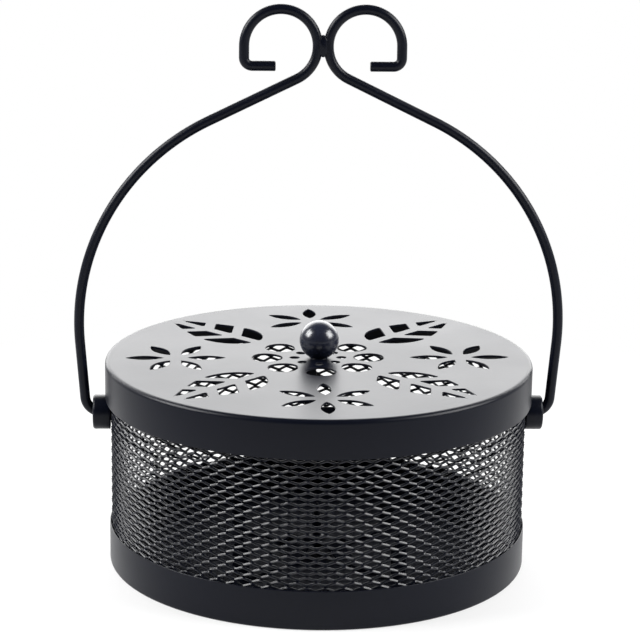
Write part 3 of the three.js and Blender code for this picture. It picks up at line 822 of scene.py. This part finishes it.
class COILHOLDER_OT_knob(Operator):
    """Makes the ball knob, its washer and its screw"""
    bl_idname = "coil_holder.knob"
    bl_label = "Knob"
    steps = 40

    def execute(self, context):
        scene = context.scene
        lid, seat = scene.coil_holder_lid, scene.coil_holder_box.height
        radius = lid.knob_radius
        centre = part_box("knob_ball")[1][2] - radius
        foot = math.acos(lid.knob_foot / radius)
        ball = [(0, seat), (lid.knob_foot, seat)]
        for step in range(self.steps):
            angle = -foot + (math.pi / 2 + foot) * step / self.steps
            ball.append((radius * math.cos(angle), centre + radius * math.sin(angle)))
        ball.append((0, centre + radius))
        piece("knob", lathe(ball, PIVOT_SIDES), ["knob_ball"], "lid", "knob_coat")
        low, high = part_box("knob_washer")
        ring = washer(lid.washer_hole, lid.washer_radius, low[2], high[2], BROKEN_EDGE)
        piece("screw_washer", lathe(ring, HARDWARE_SIDES), ["knob_washer"], "lid", "plated_steel")
        low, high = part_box("knob_screw")
        neck = low[2] + lid.head_height
        screw = rounded([
            (0, low[2], 0), (lid.head_radius, low[2], lid.head_edge),
            (lid.head_radius, neck, BROKEN_EDGE), (lid.screw_radius, neck, 0),
            (lid.screw_radius, high[2], 0), (0, high[2], 0),
        ], 5)
        piece("lid_screw", lathe(screw, HARDWARE_SIDES), ["knob_screw"], "lid", "plated_steel")
        return {"FINISHED"}


class WirePath:
    """The middle line of a bent wire in the XZ plane, as points and headings."""

    def __init__(self, x, z, heading):
        self.x, self.z, self.heading = x, z, heading
        self.stations = [(x, z, heading)]

    def straight(self, size):
        self.x += size * math.cos(self.heading)
        self.z += size * math.sin(self.heading)
        self.stations.append((self.x, self.z, self.heading))
        return self

    def bend(self, radius, turn, steps):
        side = math.copysign(math.pi / 2, turn)
        centre = (self.x + radius * math.cos(self.heading + side),
                  self.z + radius * math.sin(self.heading + side))
        for step in range(1, steps + 1):
            heading = self.heading + turn * step / steps
            self.stations.append((centre[0] + radius * math.cos(heading - side),
                                  centre[1] + radius * math.sin(heading - side), heading))
        self.x, self.z, self.heading = self.stations[-1]
        return self


def handle_path(sizes, pin_end):
    """One wire from pin to scroll, its two straights as long as they must be."""
    pin_steps, shoulder_steps, scroll_steps, tail_steps = 14, 64, 60, 12
    lift = math.pi / 2 - sizes.leg_lean
    shoulder = math.pi - sizes.shoulder_slope

    def trace(leg, rise):
        return (WirePath(pin_end, PIVOT_HEIGHT, 0)
                .straight(sizes.boss_face - sizes.setback - pin_end)
                .bend(sizes.pin_bend, lift, pin_steps)
                .straight(leg)
                .bend(sizes.shoulder_radius, shoulder - lift, shoulder_steps)
                .straight(rise))

    ring = sizes.scroll_radius
    entry = (sizes.wire_radius + sizes.wire_gap / 2 + ring - ring * math.sin(shoulder),
             sizes.scroll_height + ring * math.cos(shoulder))
    bare = trace(0, 0)
    short = (entry[0] - bare.x, entry[1] - bare.z)
    across = math.cos(lift) * math.sin(shoulder) - math.sin(lift) * math.cos(shoulder)
    leg = (short[0] * math.sin(shoulder) - short[1] * math.cos(shoulder)) / across
    rise = (short[1] * math.cos(lift) - short[0] * math.sin(lift)) / across
    return (trace(leg, rise)
            .bend(ring, -(shoulder + math.pi / 2), scroll_steps)
            .straight(sizes.scroll_drop)
            .bend(sizes.scroll_bend, -math.pi / 2, tail_steps)
            .straight(sizes.scroll_tail)).stations


def tube(stations, radius, side, corners=28, chamfer=0.0003):
    """Sweeps a round section along a wire, with a small chamfer at both ends."""
    def shifted(station, distance):
        x, z, heading = station
        return (x + distance * math.cos(heading), z + distance * math.sin(heading), heading)

    places = [(stations[0], radius - chamfer), (shifted(stations[0], chamfer), radius)]
    places += [(station, radius) for station in stations[1:-1]]
    places += [(shifted(stations[-1], -chamfer), radius), (stations[-1], radius - chamfer)]
    rings = []
    for (x, z, heading), size in places:
        ring = []
        for corner in range(corners):
            angle = 2 * math.pi * corner / corners
            across, deep = size * math.cos(angle), size * math.sin(angle)
            ring.append((side * (x - across * math.sin(heading)), deep,
                         z + across * math.cos(heading)))
        rings.append(ring)
    return skin(rings)


class COILHOLDER_OT_handle(Operator):
    """Makes the handle's two wires, their weld and their push nuts"""
    bl_idname = "coil_holder.handle"
    bl_label = "Handle"
    weld_rows, weld_columns, weld_lumps = 20, 28, 0.06

    def execute(self, context):
        sizes = context.scene.coil_holder_handle
        path = handle_path(sizes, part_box("right_handle_wire")[0][0])
        for name, side in (("left", -1), ("right", 1)):
            piece(f"{name}_wire", tube(path, sizes.wire_radius, side), [f"{name}_handle_wire"],
                  "handle", sharp=math.radians(40))
            near, far = sorted(abs(corner[0]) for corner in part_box(f"{name}_push_nut"))
            nut = washer(sizes.nut_hole, sizes.nut_radius, near, far, SOFT_EDGE)
            piece(f"{name}_nut", along_x(nut, HARDWARE_SIDES, side), [f"{name}_push_nut"],
                  "handle", "plated_steel")
        for name, front in (("front", -1), ("back", 1)):
            piece(f"{name}_weld_bead", self.weld(front, sizes), [f"{name}_weld"], "handle")
        return {"FINISHED"}

    def weld(self, front, sizes):
        """A bead that fills the groove between the scrolls."""
        rings = []
        for row in range(self.weld_rows + 1):
            lift = math.pi * (row / self.weld_rows - 0.5)
            ring = []
            for column in range(self.weld_columns):
                turn = 2 * math.pi * column / self.weld_columns
                size = math.cos(lift) * (1 + self.weld_lumps * math.sin(3 * turn + 5 * lift))
                ring.append((sizes.weld_width / 2 * size * math.cos(turn),
                             front * sizes.weld_out + sizes.weld_depth * size * math.sin(turn),
                             sizes.scroll_height + sizes.weld_length / 2 * math.sin(lift)))
            rings.append(ring)
        return skin(rings, capped=False)


class COILHOLDER_OT_stage(Operator):
    """Sets up the floor, the lamps and the camera"""
    bl_idname = "coil_holder.stage"
    bl_label = "Stage"
    floor_half = 2.0
    # Place, what it faces, width, height
    lamps = {
        "left_lamp": ((-1.03, -0.05, 0.76), (0, 0, 0.08), 0.7, 0.6),
        "right_lamp": ((1.02, -0.2, 0.72), (0, 0, 0.08), 0.75, 0.65),
        "back_lamp": ((0, 1.3, 0.60), (0, 0, 0.1), 2.4, 1.1),
        "top_lamp": ((0, 0.1, 1.3), (0, 0, 0.08), 1.6, 1.6),
    }
    camera_place = (-0.04025, -0.91575, 0.3405)
    yaw, pitch, roll = math.radians(2.53), math.radians(14.81), math.radians(0.80)
    sensor_width, focal_pixels, image_width = 36, 2388.7, 640

    def execute(self, context):
        scene = context.scene
        settings = scene.coil_holder_stage
        self.floor(settings)
        self.room(scene, settings)
        for name, placing in self.lamps.items():
            self.lamp(name, *placing, getattr(settings, name))
        bpy.data.objects["top_lamp"].visible_glossy = False
        self.camera(scene)
        scene.view_settings.view_transform = "Standard"
        return {"FINISHED"}

    def lamp(self, name, place, target, width, height, radiance):
        """A soft box whose face shows the given radiance."""
        light = bpy.data.lights.new(name, "AREA")
        light.shape = "RECTANGLE"
        light.size, light.size_y = width, height
        light.energy = radiance * math.pi * width * height
        obj = bpy.data.objects.new(name, light)
        obj.location = place
        obj.rotation_euler = (Vector(target) - Vector(place)).to_track_quat("-Z", "Y").to_euler()
        obj.visible_camera = False
        bpy.context.scene.collection.objects.link(obj)

    def floor(self, settings):
        half = self.floor_half
        mesh = bpy.data.meshes.new("floor")
        mesh.from_pydata([(-half, -half, 0), (half, -half, 0), (half, half, 0), (-half, half, 0)],
                         [], [(0, 1, 2, 3)])
        material, tree, shader = new_material("pale_floor")
        shader.inputs["Base Color"].default_value = (*settings.floor, 1)
        shader.inputs["Roughness"].default_value = 0.9
        light = add_node(tree, "ShaderNodeEmission")
        show_mixed(tree, self.white_share(tree), shader.outputs["BSDF"], light.outputs["Emission"],
                   "Material Output")
        mesh.materials.append(material)
        obj = bpy.data.objects.new("floor", mesh)
        bpy.context.scene.collection.objects.link(obj)

    def white_share(self, tree):
        """How white all but diffuse rays see the floor, more so far off."""
        rays = add_node(tree, "ShaderNodeLightPath").outputs
        seen = add_math(tree, "MAXIMUM", rays["Is Camera Ray"], rays["Is Glossy Ray"])
        seen = add_math(tree, "MAXIMUM", seen, rays["Is Transmission Ray"])
        place = add_node(tree, "ShaderNodeNewGeometry")
        away = add_node(tree, "ShaderNodeVectorMath", operation="LENGTH")
        white = add_node(tree, "ShaderNodeMapRange",
                         {"From Min": 0.1, "From Max": 0.35, "To Min": 0.6, "To Max": 1.0})
        link_all(tree, (place, "Position", away, 0), (away, "Value", white, "Value"))
        return add_math(tree, "MULTIPLY", white.outputs["Result"], seen)

    def room(self, scene, settings):
        """A dim room with a white backdrop behind, white all round for the camera."""
        white = (1, 1, 1, 1)
        scene.world = bpy.data.worlds.new("studio")
        scene.world.use_nodes = True
        tree = scene.world.node_tree
        dim = tree.nodes["Background"]
        dim.inputs["Color"].default_value = white
        dim.inputs["Strength"].default_value = settings.room
        bright = add_node(tree, "ShaderNodeBackground", {"Color": white})
        rays = add_node(tree, "ShaderNodeLightPath").outputs
        place = add_node(tree, "ShaderNodeTexCoord")
        split = add_node(tree, "ShaderNodeSeparateXYZ")
        behind = add_node(tree, "ShaderNodeMapRange", interpolation_type="SMOOTHSTEP",
                          inputs={"From Min": 0.35, "From Max": 0.75, "To Max": 0.8})
        link_all(tree, (place, "Generated", split, "Vector"), (split, "Y", behind, "Value"))
        reflected = add_math(tree, "MAXIMUM", rays["Is Glossy Ray"], rays["Is Transmission Ray"])
        backdrop = add_math(tree, "MULTIPLY", reflected, behind.outputs["Result"])
        amount = add_math(tree, "MAXIMUM", rays["Is Camera Ray"], backdrop)
        show_mixed(tree, amount, dim.outputs["Background"], bright.outputs["Background"],
                   "World Output")

    def camera(self, scene):
        forward = Vector((math.sin(self.yaw) * math.cos(self.pitch),
                          math.cos(self.yaw) * math.cos(self.pitch), -math.sin(self.pitch)))
        level = Vector((math.cos(self.yaw), -math.sin(self.yaw), 0))
        upright = level.cross(forward)
        right = level * math.cos(self.roll) + upright * math.sin(self.roll)
        up = upright * math.cos(self.roll) - level * math.sin(self.roll)
        data = bpy.data.cameras.new("camera")
        data.sensor_width = self.sensor_width
        data.lens = self.focal_pixels * self.sensor_width / self.image_width
        obj = bpy.data.objects.new("camera", data)
        turn = Matrix((right, up, -forward)).transposed().to_4x4()
        obj.matrix_world = Matrix.Translation(self.camera_place) @ turn
        scene.collection.objects.link(obj)
        scene.camera = obj


class COILHOLDER_PT_panel(Panel):
    """Lists the pieces in the sidebar"""
    bl_idname = "COILHOLDER_PT_panel"
    bl_label = "Coil Holder"
    bl_space_type = "VIEW_3D"
    bl_region_type = "UI"
    bl_category = "Coil Holder"

    def draw(self, context):
        for operator in OPERATORS:
            self.layout.operator(operator.bl_idname)
        for name in GROUPS:
            group = getattr(context.scene, name)
            box = self.layout.box()
            box.label(text=name.replace("_", " ").capitalize())
            for prop in group.__annotations__:
                box.prop(group, prop)


OPERATORS = (
    COILHOLDER_OT_tray, COILHOLDER_OT_mesh, COILHOLDER_OT_collar, COILHOLDER_OT_pivots,
    COILHOLDER_OT_coil_rest, COILHOLDER_OT_lid, COILHOLDER_OT_knob, COILHOLDER_OT_handle,
    COILHOLDER_OT_stage,
)
GROUPS = {
    "coil_holder_box": BoxSizes,
    "coil_holder_mesh": MeshSizes,
    "coil_holder_rest": RestSizes,
    "coil_holder_lid": LidSizes,
    "coil_holder_pattern": PatternSizes,
    "coil_holder_handle": HandleSizes,
    "coil_holder_finishes": FinishColours,
    "coil_holder_stage": StageSettings,
}


def register():
    for group in GROUPS.values():
        bpy.utils.register_class(group)
    for name, group in GROUPS.items():
        setattr(bpy.types.Scene, name, PointerProperty(type=group))
    for cls in OPERATORS + (COILHOLDER_PT_panel,):
        bpy.utils.register_class(cls)


def unregister():
    for cls in reversed(OPERATORS + (COILHOLDER_PT_panel,)):
        bpy.utils.unregister_class(cls)
    for name, group in GROUPS.items():
        delattr(bpy.types.Scene, name)
        bpy.utils.unregister_class(group)


def main():
    register()
    bpy.ops.coil_holder.tray()
    bpy.ops.coil_holder.mesh()
    bpy.ops.coil_holder.collar()
    bpy.ops.coil_holder.pivots()
    bpy.ops.coil_holder.coil_rest()
    bpy.ops.coil_holder.lid()
    bpy.ops.coil_holder.knob()
    bpy.ops.coil_holder.handle()
    bpy.ops.coil_holder.stage()


if __name__ == "__main__":
    main()
